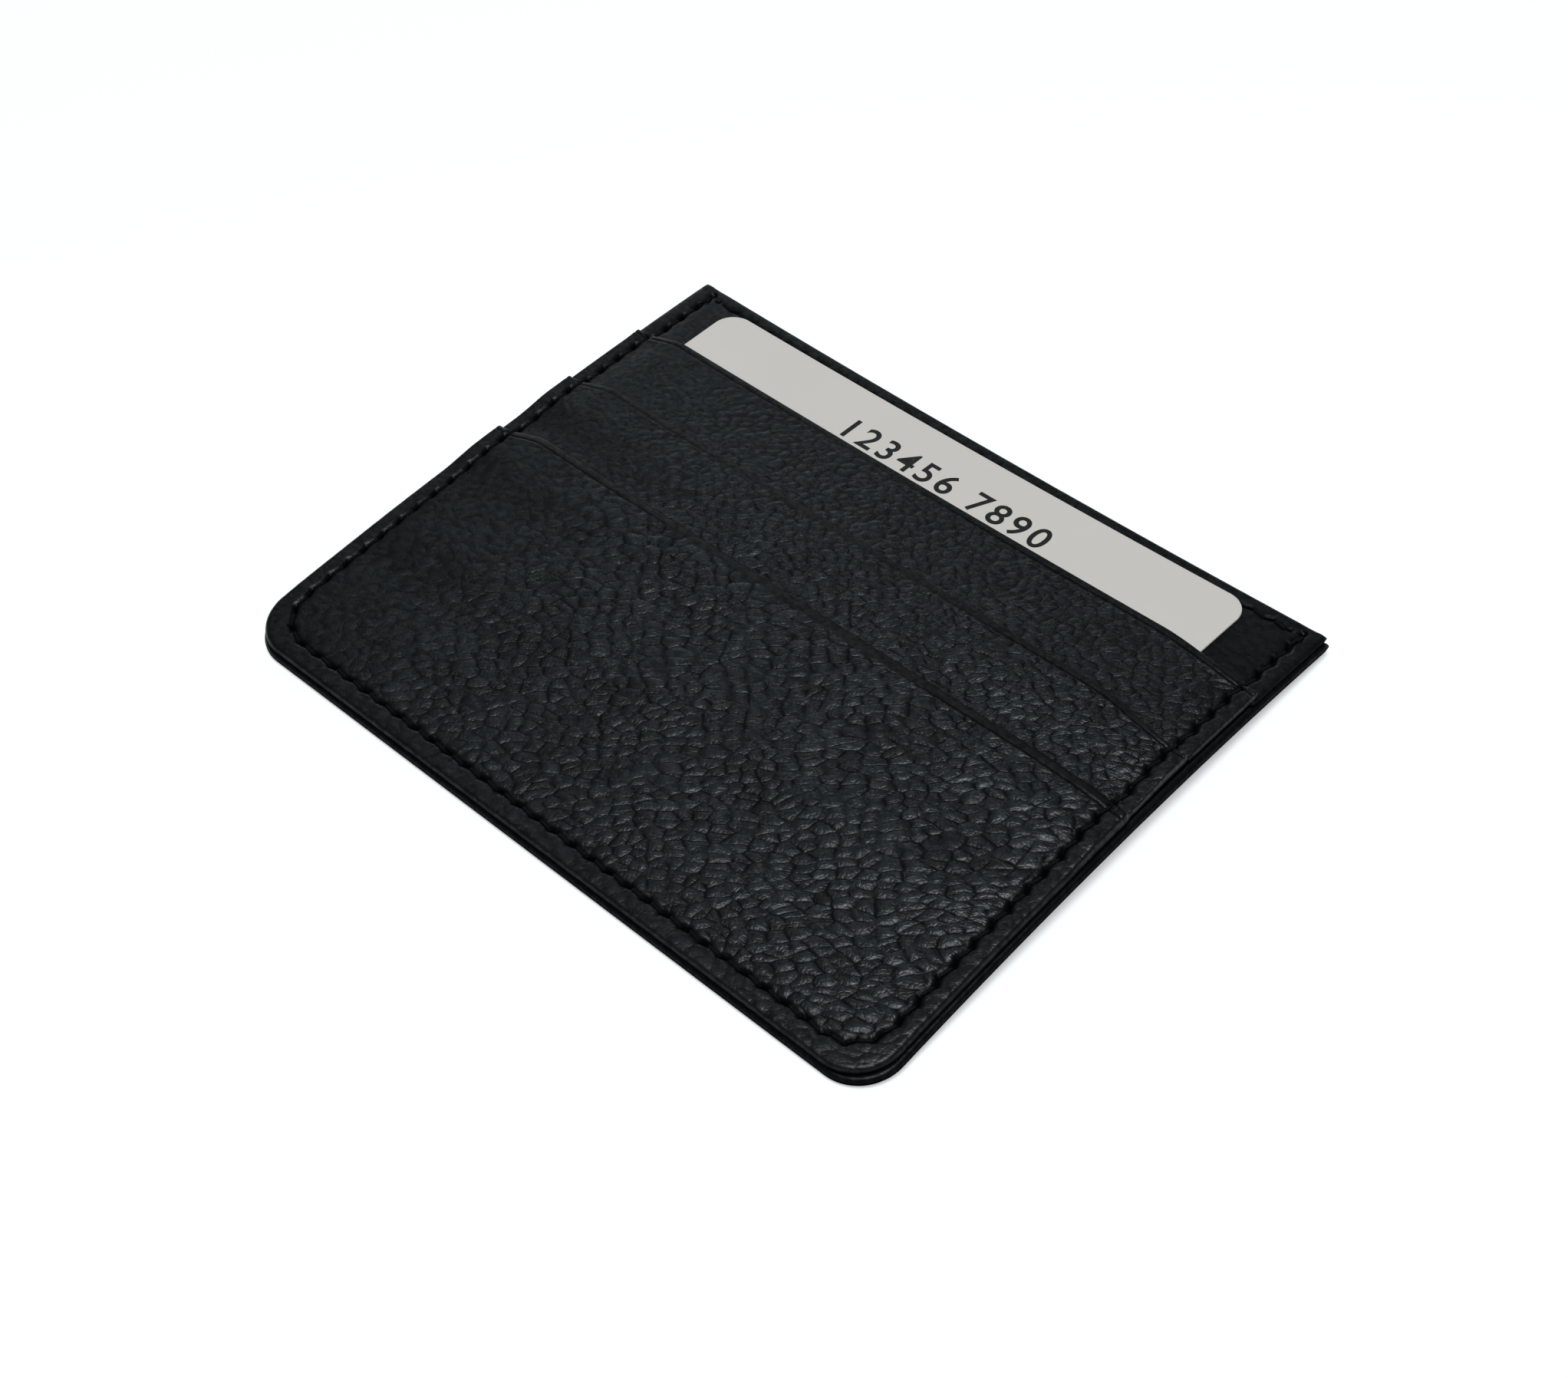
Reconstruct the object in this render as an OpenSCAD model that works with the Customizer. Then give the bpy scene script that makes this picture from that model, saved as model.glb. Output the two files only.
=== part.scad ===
// Slim leather card holder: three stepped pockets on the front, a plain back and a
// central compartment between them, with one blank card in the top pocket.
// It lies on its back at z = 0, with +Y towards the pocket mouths and +Z out of the front.
// Every sheet lies on the ones below it, so its height follows from their thicknesses.

/* [Body] */
// Width across the side edges
body_w = 103; // [100:1:110]
// Height from the bottom edge to the mouth edge
body_h = 82; // [80:1:90]
// Radius of the two bottom corners
corner_r = 6; // [5:0.1:12]

/* [Pockets] */
// Distance from the mouth edge down to the top pocket's mouth
top_band = 12.1; // [9:0.1:13]
// Step from one pocket mouth down to the next
mouth_step = 12.6; // [11:0.1:14]
// How far a pocket strip runs on below the next mouth
strip_tail = 5; // [4:0.5:6]
// Length over which a sheet eases down past the end of one below it
ease = 1.5; // [1:0.1:2]

/* [Sheet thicknesses] */
// Back panel leather
back_t = 0.9; // [0.6:0.05:1.1]
// Front backing and bottom pocket leather
leather_t = 0.7; // [0.5:0.05:0.9]
// Leather of the two upper pocket strips
strip_t = 0.5; // [0.4:0.05:0.7]
// Fabric behind each pocket strip
pocket_lining_t = 0.1; // [0.08:0.01:0.2]
// Stiffening board
board_t = 0.15; // [0.15:0.05:0.3]
// Fabric lining of the central compartment
lining_t = 0.15; // [0.15:0.05:0.25]

/* [Card] */
// Card length, along the mouth
card_w = 85.6; // [85:0.1:86]
// Card height
card_h = 54; // [53:0.1:54]
// Card thickness
card_t = 0.4; // [0.3:0.02:0.76]
// How much of the card stands out of the pocket
card_show = 10; // [8:0.1:11]
// Sideways place of the card in its pocket
card_shift = -1.1; // [-3:0.1:3]

/* [Stitching] */
// Distance from the edge to the outer seam
seam_inset = 2.9; // [2.5:0.1:3.5]
// Distance from the mouth edge to the hem seam
hem_inset = 1.9; // [1.6:0.1:2.4]
// Length of one stitch
stitch = 3; // [2.5:0.1:4]
// Width of the thread
thread_w = 0.5; // [0.4:0.05:0.6]

/* [Hidden] */
half_w = body_w / 2;
half_h = body_h / 2;
mouth_1 = half_h - top_band;
mouth_2 = mouth_1 - mouth_step;
mouth_3 = mouth_2 - mouth_step;
card_r = 3.18;
card_slack = 0.05;
card_gap = card_t + 2 * card_slack;
card_bottom = mouth_1 + card_show - card_h;
base_1 = card_bottom - 0.1;
base_2 = base_1 - mouth_step;
base_margin = 3.5;
base_seam = 2.5;
filler_in = 4.9;
filler_out = 0.5;
hem = 4.1;
hem_t = board_t + lining_t;
board_inset = 1.0;
hole_r = 0.3;
leg_r = 0.2;
groove_w = 0.7;
groove_d = 0.24;
crown_top = 0.03;
crown_end_w = 0.3;
base_thread_t = 0.2;
thread_drop = 0.25;
reach = 20;
circle_fn = 24;
corner_fn = 72;

LEATHER = [0.14, 0.155, 0.16];
FABRIC = [0.10, 0.10, 0.11];
BOARD = [0.45, 0.40, 0.34];
THREAD = [0.03, 0.03, 0.035];
CARD = [0.89, 0.885, 0.86];

// The sheets from the table up: [lower end, upper end, thickness] along Y.
// Base threads and the card's space count as sheets, because the ones above lie over them.
SHEETS = [
    [-half_h, half_h, back_t],                                          // 0 back leather
    [-half_h + board_inset, half_h - hem - ease, board_t],              // 1 back board
    [-half_h + board_inset, half_h - hem - ease, lining_t],             // 2 back lining
    [half_h - hem, half_h, hem_t],                                      // 3 back hem
    [half_h - hem, half_h, hem_t],                                      // 4 front hem
    [-half_h + board_inset, half_h - hem - ease, lining_t],             // 5 front lining
    [-half_h + board_inset, half_h - hem - ease, board_t],              // 6 front board
    [-half_h, half_h, leather_t],                                       // 7 backing
    [base_1, mouth_1, card_gap],                                        // 8 card's space
    [base_1 - base_margin, mouth_1, pocket_lining_t],                   // 9 top lining
    [base_1 - base_seam - thread_w / 2, base_1 - base_seam + thread_w / 2, base_thread_t], // 10
    [mouth_2 - strip_tail, mouth_1, strip_t],                           // 11 top leather
    [base_2 - base_margin, mouth_2, pocket_lining_t],                   // 12 middle lining
    [base_2 - base_seam - thread_w / 2, base_2 - base_seam + thread_w / 2, base_thread_t], // 13
    [mouth_3 - strip_tail, mouth_2, strip_t],                           // 14 middle leather
    [-half_h, mouth_3, leather_t],                                      // 15 bottom leather
];

// Share of a sheet's thickness that the sheets above ride up on at y
function cover(y, low, high) =
    max(0, min(1, (y - low + ease) / ease, (high + ease - y) / ease));

// Height of the underside of sheet i at y
function level(i, y) =
    i == 0 ? 0 : level(i - 1, y) + SHEETS[i - 1][2] * cover(y, SHEETS[i - 1][0], SHEETS[i - 1][1]);

function sorted(v) =
    len(v) < 2 ? v
    : let (pivot = v[0], rest = [for (k = [1 : len(v) - 1]) v[k]])
      concat(sorted([for (a = rest) if (a < pivot) a]), [pivot],
             sorted([for (a = rest) if (a > pivot) a]));

// The places along Y where a sheet's height bends, between two limits
function bends(i, low, high) = sorted(concat([low, high], [
    for (s = SHEETS, y = [s[0] - ease, s[0], s[1], s[1] + ease]) if (y > low && y < high) y
]));

// Body between two sheets' heights, each with an offset, over a stretch of Y and all of X
module between(i, i_offset, j, j_offset, low, high) {
    ys = bends(j, low, high);
    points = concat(
        [for (y = ys) [y, level(i, y) + i_offset]],
        [for (k = [len(ys) - 1 : -1 : 0]) [ys[k], level(j, ys[k]) + j_offset]]
    );
    translate([-half_w - 1, 0, 0]) rotate([90, 0, 90]) linear_extrude(body_w + 2) polygon(points);
}

// Outline of the holder: square at the mouth, round at the bottom, pulled in by inset
module outline(inset = 0) {
    r = corner_r - inset;
    w = half_w - inset;
    difference() {
        union() {
            translate([-w, -half_h + inset + r]) square([2 * w, body_h - inset - r]);
            translate([-w + r, -half_h + inset]) square([2 * (w - r), r + 1]);
            for (side = [-1, 1]) translate([side * (w - r), -half_h + inset + r])
                circle(r, $fn = corner_fn);
        }
        translate([-half_w, half_h]) square([body_w, body_h]);
    }
}

// Outer seam: down the left side, round the bottom and up the right side
seam_x = half_w - seam_inset;
seam_y = half_h - seam_inset;
seam_r = 5.4; // rounder than a line that keeps its distance from the edge
seam_start = half_h - 1.5;
side_run = seam_start + seam_y - seam_r;
corner_run = PI / 2 * seam_r;
bottom_run = 2 * (seam_x - seam_r);
seam_run = 2 * side_run + 2 * corner_run + bottom_run;
seam_count = round(seam_run / stitch);

function seam_half_point(s) =
    s < side_run ? [-seam_x, seam_start - s]
    : s < side_run + corner_run
        ? let (a = 180 + (s - side_run) / seam_r * 180 / PI)
          [-seam_x + seam_r + seam_r * cos(a), -seam_y + seam_r + seam_r * sin(a)]
    : [-seam_x + seam_r + s - side_run - corner_run, -seam_y];

function seam_point(s) =
    s <= seam_run / 2 ? seam_half_point(s)
    : let (p = seam_half_point(seam_run - s)) [-p[0], p[1]];

SEAM = [for (k = [0 : seam_count]) seam_point(seam_run * k / seam_count)];

// A straight row of holes across the holder
function row(y, reach_x) =
    let (n = round(2 * reach_x / stitch))
    [for (k = [0 : n]) [-reach_x + 2 * reach_x * k / n, y]];

HEM = row(half_h - hem_inset, seam_x - stitch / 2);
BASE_1 = row(base_1 - base_seam, half_w - filler_in - 2);
BASE_2 = row(base_2 - base_seam, half_w - filler_in - 2);

module holes(points, r = hole_r) {
    for (p = points) translate(p) circle(r, $fn = circle_fn);
}

// The run of thread from hole to hole, widest in the middle of each stitch
module crowns(points) {
    for (k = [0 : len(points) - 2]) {
        a = points[k];
        b = points[k + 1];
        along = (b - a) / norm(b - a);
        across = [-along[1], along[0]];
        polygon([
            a - across * crown_end_w / 2,
            (a + b) / 2 - across * thread_w / 2,
            b - across * crown_end_w / 2,
            b + across * crown_end_w / 2,
            (a + b) / 2 + across * thread_w / 2,
            a + across * crown_end_w / 2
        ]);
    }
}

// The channel that a row's thread sinks into: one straight stretch between turns
module channel(points) {
    last = len(points) - 1;
    turns = [for (k = [0 : last])
        if (k == 0 || k == last || norm(points[k - 1] + points[k + 1] - 2 * points[k]) > 0.01)
            points[k]];
    for (k = [0 : len(turns) - 2]) {
        along = (turns[k + 1] - turns[k]) / norm(turns[k + 1] - turns[k]) * groove_w / 2;
        side = [-along[1], along[0]];
        a = turns[k] - along;
        b = turns[k + 1] + along;
        polygon([a - side, b - side, b + side, a + side]);
    }
}

// One sheet cut to the outline, with its stitch holes
module sheet(i, inset = 0, rows = []) {
    intersection() {
        between(i, 0, i, SHEETS[i][2], SHEETS[i][0], SHEETS[i][1]);
        linear_extrude(reach) difference() {
            outline(inset);
            holes(SEAM);
            for (points = rows) holes(points);
        }
    }
}

// Grooves that the thread sinks into on a face that shows, low and high being offsets
module grooves(i, low, high, from, to) {
    intersection() {
        between(i, low, i, high, from, to);
        translate([0, 0, -1]) linear_extrude(reach) {
            channel(SEAM);
            if (to == half_h) channel(HEM);
        }
    }
}

module front_leather(i, rows = []) {
    t = SHEETS[i][2];
    difference() {
        sheet(i, 0, rows);
        grooves(i, t - groove_d, t + 1, SHEETS[i][0], SHEETS[i][1]);
    }
}

module back_panel_leather() {
    color(LEATHER) difference() {
        union() {
            sheet(0, 0, [HEM]);
            sheet(3, 0, [HEM]);
        }
        grooves(0, -1, groove_d, SHEETS[0][0], half_h);
        translate([0, 0, back_t + hem_t - groove_d]) linear_extrude(groove_d + 0.01) channel(HEM);
    }
}

module back_board() {
    color(BOARD) sheet(1, board_inset);
}

module back_compartment_lining() {
    color(FABRIC) sheet(2, board_inset);
}

module front_compartment_lining() {
    color(FABRIC) sheet(5, board_inset);
}

module front_board() {
    color(BOARD) sheet(6, board_inset);
}

module front_backing_leather() {
    color(LEATHER) difference() {
        union() {
            front_leather(7, [HEM, BASE_1, BASE_2]);
            sheet(4, 0, [HEM]);
        }
        translate([0, 0, back_t + hem_t - 0.01]) linear_extrude(groove_d + 0.01) channel(HEM);
    }
}

// Filler strip in a side seam, which leaves room for a card beside it
module edge_filler(side) {
    color(BOARD) intersection() {
        between(8, 0, 9, 0, base_1, mouth_1 - 0.5);
        linear_extrude(reach) difference() {
            translate([side * (half_w - (filler_in + filler_out) / 2), 0])
                square([filler_in - filler_out, body_h], center = true);
            holes(SEAM);
        }
    }
}

module top_pocket_lining() {
    color(FABRIC) sheet(9, board_inset, [BASE_1]);
}

module top_pocket_leather() {
    color(LEATHER) front_leather(11);
}

module middle_pocket_lining() {
    color(FABRIC) sheet(12, board_inset, [BASE_2]);
}

module middle_pocket_leather() {
    color(LEATHER) front_leather(14);
}

module bottom_pocket_leather() {
    color(LEATHER) front_leather(15);
}

// Thread that shows on one front sheet: crowns in the groove and legs down to the linings
module needle_stretch(i, low, high) {
    t = SHEETS[i][2];
    intersection() {
        between(i, t - groove_d, i, t - crown_top, low, high);
        linear_extrude(reach) crowns(SEAM);
    }
    intersection() {
        between(5, 0, i, t - groove_d, low, high);
        linear_extrude(reach) holes(SEAM, leg_r);
    }
}

// Where the thread runs off a pocket's mouth on sheet j, down to sheet i
module needle_drop(i, j, mouth) {
    intersection() {
        between(i, SHEETS[i][2] - groove_d, j, SHEETS[j][2] - crown_top,
            mouth, mouth + thread_drop);
        linear_extrude(reach) crowns(SEAM);
    }
}

module outer_seam_needle_thread() {
    color(THREAD) {
        needle_stretch(7, mouth_1, half_h);
        needle_drop(7, 11, mouth_1);
        needle_stretch(11, mouth_2, mouth_1);
        needle_drop(11, 14, mouth_2);
        needle_stretch(14, mouth_3, mouth_2);
        needle_drop(14, 15, mouth_3);
        needle_stretch(15, -half_h, mouth_3);
    }
}

module outer_seam_bobbin_thread() {
    color(THREAD) {
        translate([0, 0, crown_top]) linear_extrude(groove_d - crown_top) crowns(SEAM);
        translate([0, 0, groove_d]) linear_extrude(back_t + hem_t - groove_d) holes(SEAM, leg_r);
    }
}

// A hem's thread, through a panel and its turned hem, sunk in a groove on both faces
module hem_thread(low, high) {
    color(THREAD) {
        translate([0, 0, low + crown_top]) linear_extrude(groove_d - crown_top) crowns(HEM);
        translate([0, 0, high - groove_d]) linear_extrude(groove_d - crown_top) crowns(HEM);
        translate([0, 0, low + groove_d]) linear_extrude(high - low - 2 * groove_d)
            holes(HEM, leg_r);
    }
}

module front_hem_thread() {
    hem_thread(back_t + hem_t, back_t + 2 * hem_t + leather_t);
}

module back_hem_thread() {
    hem_thread(0, back_t + hem_t);
}

// A pocket's base seam: crowns on the pocket lining i, legs through it and the backing
module base_thread(i, points) {
    y = points[0][1];
    crown_low = level(i, y) + pocket_lining_t;
    leg_low = level(7, y);
    color(THREAD) {
        translate([0, 0, crown_low]) linear_extrude(base_thread_t) crowns(points);
        translate([0, 0, leg_low]) linear_extrude(crown_low - leg_low) holes(points, leg_r);
    }
}

module top_pocket_base_thread() {
    base_thread(9, BASE_1);
}

module middle_pocket_base_thread() {
    base_thread(12, BASE_2);
}

// Blank card, flat, resting on the top pocket's base
module blank_card() {
    x = card_w / 2 - card_r;
    y = card_h / 2 - card_r;
    color(CARD) translate([card_shift, card_bottom + card_h / 2, level(8, 0) + card_slack])
        linear_extrude(card_t) {
            square([card_w, 2 * y], center = true);
            square([2 * x, card_h], center = true);
            for (sx = [-1, 1], sy = [-1, 1]) translate([sx * x, sy * y])
                circle(card_r, $fn = corner_fn);
        }
}

back_panel_leather();
back_board();
back_compartment_lining();
front_compartment_lining();
front_board();
front_backing_leather();
edge_filler(-1);  // left_edge_filler
edge_filler(1);  // right_edge_filler
top_pocket_lining();
top_pocket_leather();
middle_pocket_lining();
middle_pocket_leather();
bottom_pocket_leather();
outer_seam_needle_thread();
outer_seam_bobbin_thread();
front_hem_thread();
back_hem_thread();
top_pocket_base_thread();
middle_pocket_base_thread();
blank_card();
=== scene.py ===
"""Looks of the slim leather card holder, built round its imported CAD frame.

Lengths are in millimetres until a mesh is made. The holder lies on its back, +Y towards the pocket
mouths. A sheet of leather is one closed mesh: a detailed face, a rounded edge and a plain inner face.
"""

import math

import bmesh
import bpy
import numpy as np
from mathutils import Matrix, Vector


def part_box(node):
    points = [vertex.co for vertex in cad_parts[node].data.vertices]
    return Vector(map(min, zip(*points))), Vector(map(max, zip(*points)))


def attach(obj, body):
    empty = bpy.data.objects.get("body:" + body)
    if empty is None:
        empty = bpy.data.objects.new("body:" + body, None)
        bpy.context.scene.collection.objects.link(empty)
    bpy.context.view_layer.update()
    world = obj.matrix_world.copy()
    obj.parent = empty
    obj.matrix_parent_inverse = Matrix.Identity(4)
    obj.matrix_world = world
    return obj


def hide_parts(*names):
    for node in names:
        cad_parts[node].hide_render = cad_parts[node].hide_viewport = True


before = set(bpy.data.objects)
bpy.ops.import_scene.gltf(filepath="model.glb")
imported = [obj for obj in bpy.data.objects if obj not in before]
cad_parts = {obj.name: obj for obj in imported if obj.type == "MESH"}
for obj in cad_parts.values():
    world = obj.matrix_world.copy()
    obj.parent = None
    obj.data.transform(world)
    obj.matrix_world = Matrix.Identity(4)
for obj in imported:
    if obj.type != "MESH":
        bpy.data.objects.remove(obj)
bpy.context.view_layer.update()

MM = 0.001


def node_box(node):
    """Lowest and highest corner of a CAD node, in millimetres."""
    low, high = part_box(node)
    return np.array(low) / MM, np.array(high) / MM


# ---- Sizes that the frame gives
HALF_W, HALF_H = node_box("back_panel_leather")[1][:2]
MOUTH_1 = node_box("top_pocket_leather")[1][1]
MOUTH_2 = node_box("middle_pocket_leather")[1][1]
MOUTH_3 = node_box("bottom_pocket_leather")[1][1]
HEM_TOP = node_box("back_panel_leather")[1][2]
BACKING_TOP = node_box("front_backing_leather")[1][2]
FRONT_LOW = node_box("front_board")[1][2]
STRIP_TOP = node_box("top_pocket_leather")[1][2]
MIDDLE_TOP = node_box("middle_pocket_leather")[1][2]
BOTTOM_TOP = node_box("bottom_pocket_leather")[1][2]
CARD_LOW, CARD_HIGH = node_box("blank_card")
GAP_LOW = node_box("left_edge_filler")[0][1]

# ---- Sizes of the leather and its seams
CORNER_R = 6.0
CARD_R = 3.18
CARD_GAP = 0.5
CARD_TURN = 0.0075
BACK_T = 0.9
LEATHER_T = 0.7
STRIP_T = 0.5
STRIP_TAIL = 5.0
SEAM_IN = 2.9
SEAM_R = 5.4
SEAM_END = 1.5
HEM_IN = 1.9
HEM_DEPTH = 4.1
STITCH = 3.0
THREAD_R = 0.20
LEAN = 0.28  # how far a stitch's ends lie to either side of the seam's line
SLIT = 0.52  # half the length of a slanted needle slit
STITCH_REACH = 3.2  # marks further than this from a stitch's middle are left out
SHELL_STEP = 0.4
WRAP_IN = 1.5
WRAP_LOW = HEM_TOP + 0.22
EDGE_R = 0.62

# ---- How the sewn holder is bent
ARCH = 1.85
ARCH_LEAN = 0.45
CURL = 0.95

# ---- Mesh spacing
FINE = 0.25
CREASE_STEP = 0.12
COARSE = 4
RING_COUNT = 9
MITRE_MAX = 1.18
INNER_SHIFT = 300  # an inner face takes another part of the grain

# ---- The grain: height of the pebbles, then the turn and scale of its three layers
PEBBLE = 0.20
CELL_TURN, CELL_SCALE = math.radians(40), (1 / 2.4, 1 / 1.35, 1)
ROW_TURN, ROW_SCALE = math.radians(55), (1 / 4.5, 1 / 1.5, 1)
SMALL_TURN, SMALL_SCALE = math.radians(20), (1 / 0.62, 1 / 0.5, 1)


# ---------------------------------------------------------------- small maths


def ease(low, high, value):
    """0 below low, 1 above high and smooth between them."""
    t = np.clip((value - low) / (high - low), 0, 1)
    return t * t * (3 - 2 * t)


def bell(value, width):
    return np.exp(-((value / width) ** 2))


def spaced(*stops):
    """Rising values through the stops, given as a limit, a step, a limit, a step and so on."""
    values = [np.array([stops[0]], float)]
    for low, step, high in zip(stops[0:-2:2], stops[1:-1:2], stops[2::2]):
        count = COARSE * max(1, round((high - low) / step / COARSE))
        values.append(np.linspace(low, high, count + 1)[1:])
    return np.concatenate(values)


# ---------------------------------------------------------------- the holder's form


def bow(x, y):
    """How far the sewn holder is bent up off the table."""
    u, v = x / HALF_W, y / HALF_H
    return (ARCH + ARCH_LEAN * u) * (1 - v * v) + CURL * ((v + 1) / 2) ** 2 * u * u


def settle(x, y, z):
    """Height that a point of the flat design takes in the bent holder, pressed shut at its side seams."""
    over_card = ease(GAP_LOW - 10, GAP_LOW - 0.5, y) * (1 - ease(MOUTH_1, MOUTH_1 + 1.5, y))
    share = np.clip((z - BACKING_TOP) / CARD_GAP, 0, 1)
    pressed = (CARD_GAP - 0.06) * ease(44.2, 49.8, abs(x)) * over_card * share
    return z + bow(x, y) - pressed


def inset(x, y, half_w=HALF_W, half_h=HALF_H, r=CORNER_R):
    """Distance in from the side and bottom edges."""
    across, down = abs(x) - (half_w - r), -y - (half_h - r)
    beyond = np.hypot(np.maximum(across, 0), np.maximum(down, 0))
    return r - beyond - np.minimum(np.maximum(across, down), 0)


def off_seam(x, y):
    """Distance inwards from the line of the outer seam."""
    return inset(x, y, HALF_W - SEAM_IN, HALF_H - SEAM_IN, SEAM_R)


def seam_holes():
    """Needle holes of the outer seam, down the left side, round the bottom and up the right side."""
    x, y, r = HALF_W - SEAM_IN, HALF_H - SEAM_IN, SEAM_R
    start = HALF_H - SEAM_END
    side, turn, bottom = start + y - r, math.pi / 2 * r, 2 * (x - r)
    run = 2 * side + 2 * turn + bottom
    count = round(run / STITCH)
    points = []
    for k in range(count + 1):
        s = run * k / count
        mirrored = s > run / 2
        s = run - s if mirrored else s
        if s < side:
            point = (-x, start - s)
        elif s < side + turn:
            angle = math.pi + (s - side) / r
            point = (-x + r + r * math.cos(angle), -y + r + r * math.sin(angle))
        else:
            point = (-x + r + s - side - turn, -y)
        points.append((-point[0], point[1]) if mirrored else point)
    return np.array(points)


def hem_holes():
    reach = HALF_W - SEAM_IN - STITCH / 2
    count = round(2 * reach / STITCH)
    xs = np.linspace(-reach, reach, count + 1)
    return np.stack([xs, np.full(count + 1, HALF_H - HEM_IN)], 1)


SEAM = seam_holes()
HEM = hem_holes()


def seam_path(holes):
    """Ends of each stitch: it leans across the seam from one slanted hole to the next."""
    ahead = np.gradient(holes, axis=0)
    ahead /= np.linalg.norm(ahead, axis=1)[:, None]
    across = np.stack([-ahead[:, 1], ahead[:, 0]], 1)
    lean = LEAN * (0.4 + 0.5 * ease(40, 47, holes[:, :1]))
    start = holes + lean * across + SLIT * ahead
    end = holes - lean * across - SLIT * ahead
    return start[:-1], end[1:]


def gap_to(x, y, a, b):
    """Distance from each point to the nearest of the short segments a to b, or 9 if all are far off."""
    best = np.full(len(x), 9.0)
    for (ax, ay), (bx, by) in zip(a, b):
        near = (abs(x - (ax + bx) / 2) < STITCH_REACH) & (abs(y - (ay + by) / 2) < STITCH_REACH)
        px, py, dx, dy = x[near] - ax, y[near] - ay, bx - ax, by - ay
        t = np.clip((px * dx + py * dy) / (dx * dx + dy * dy), 0, 1)
        best[near] = np.minimum(best[near], np.hypot(px - t * dx, py - t * dy))
    return best


def stitch_gaps(x, y, holes):
    """Distance from each point to a row's threads and to the slits that they dive into."""
    start, end = seam_path(holes)
    tips = np.vstack([holes[:1], holes[-1:]])
    slit_starts, slit_ends = np.vstack([end[:-1], tips]), np.vstack([start[1:], tips + 0.01])
    return gap_to(x, y, start, end), gap_to(x, y, slit_starts, slit_ends)


def pressed(x, y, holes, near):
    """0 to 1 in the grooves under the stitches and in their slits."""
    total = np.zeros_like(x)
    thread, slit = stitch_gaps(x[near], y[near], holes)
    total[near] = np.maximum(0.5 * bell(thread, 0.34), bell(slit, 0.38))
    return total


def darkened(x, y, holes, near):
    """0 to 1 where shade is painted on the leather in the stitches' grooves and slits, most at the right
    seam.
    """
    total = np.zeros_like(x)
    thread, slit = stitch_gaps(x[near], y[near], holes)
    right = ease(40, 47, x[near])
    total[near] = np.maximum((0.62 + 0.3 * right) * bell(thread, 0.34 + 0.2 * right), bell(slit, 0.48))
    return total


def near_seam(x, y):
    return (abs(off_seam(x, y)) < 1.8) & (y < HALF_H - 0.8)


def near_hem(x, y):
    return (abs(y - (HALF_H - HEM_IN)) < 1.6) & (abs(x) < HALF_W - SEAM_IN)


def seam_marks(x, y):
    """Depth that the outer seam presses into a face: a wide dip with grooves and slits in it."""
    return 0.06 * bell(off_seam(x, y), 1.1) + 0.42 * pressed(x, y, SEAM, near_seam(x, y))


def hem_marks(x, y):
    off = y - (HALF_H - HEM_IN)
    inside = ease(-0.6, 0.6, HALF_W - SEAM_IN - abs(x))
    return 0.06 * bell(off, 1.0) * inside + 0.28 * pressed(x, y, HEM, near_hem(x, y))


def stitch_painted_shade(x, y):
    """Shade painted on the leather in the grooves and slits of the stitches, 0 to 1."""
    return np.maximum(darkened(x, y, SEAM, near_seam(x, y)), darkened(x, y, HEM, near_hem(x, y)))


def swell(x, y):
    """Slow unevenness of hand-turned leather."""
    a = np.sin(x / 7.9 + 1.3 * np.sin(y / 11.0)) * np.cos(y / 9.3 + 0.9 * np.sin(x / 13.0))
    b = np.sin(x / 3.7 + y / 5.1 + 2.0) * np.cos(y / 4.3 - x / 8.7)
    return 0.006 * a + 0.003 * b


# ---------------------------------------------------------------- sheets


def plan(xs, ys, ds, half_w, low, high, r, turns, round_low, round_high):
    """Quads of a flat panel as corner points: an inner grid, side strips and rounded corners."""
    blocks = [np.stack(np.meshgrid(xs, ys), -1)]
    for side in (-1, 1):
        blocks.append(np.stack(np.meshgrid(side * (half_w - ds), ys), -1))
    for rounded, y_edge, up in ((round_low, low, 1), (round_high, high, -1)):
        if not rounded:
            continue
        blocks.append(np.stack(np.meshgrid(xs, y_edge + up * ds), -1))
        for side in (-1, 1):
            ray, angle = np.meshgrid(r - ds, turns)
            x = side * (half_w - r + ray * np.cos(angle))
            blocks.append(np.stack([x, y_edge + up * (r - ray * np.sin(angle))], -1))
    quads = []
    for b in blocks:
        quads.append(np.stack([b[:-1, :-1], b[:-1, 1:], b[1:, 1:], b[1:, :-1]], 2).reshape(-1, 4, 2))
    return np.concatenate(quads)


def indexed(quads):
    """Shared points and faces of some quads."""
    keys, first, index = np.unique(
        np.round(quads.reshape(-1, 2), 4), axis=0, return_index=True, return_inverse=True
    )
    faces = []
    for face in index.reshape(-1, 4).tolist():
        kept = [v for k, v in enumerate(face) if v != face[k - 1]]
        if len(kept) > 2:
            faces.append(kept)
    return keys, faces


def rim(faces):
    """The points round the edge of some faces, in order."""
    edges = np.array([(f[k - 1], f[k]) for f in faces for k in range(len(f))])
    pairs, counts = np.unique(np.sort(edges, 1), axis=0, return_counts=True)
    beside = {}
    for a, b in pairs[counts == 1].tolist():
        beside.setdefault(a, []).append(b)
        beside.setdefault(b, []).append(a)
    start = min(beside)
    loop, last = [start], None
    while True:
        step = [v for v in beside[loop[-1]] if v != last][0]
        if step == start:
            return loop
        last = loop[-1]
        loop.append(step)


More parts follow.
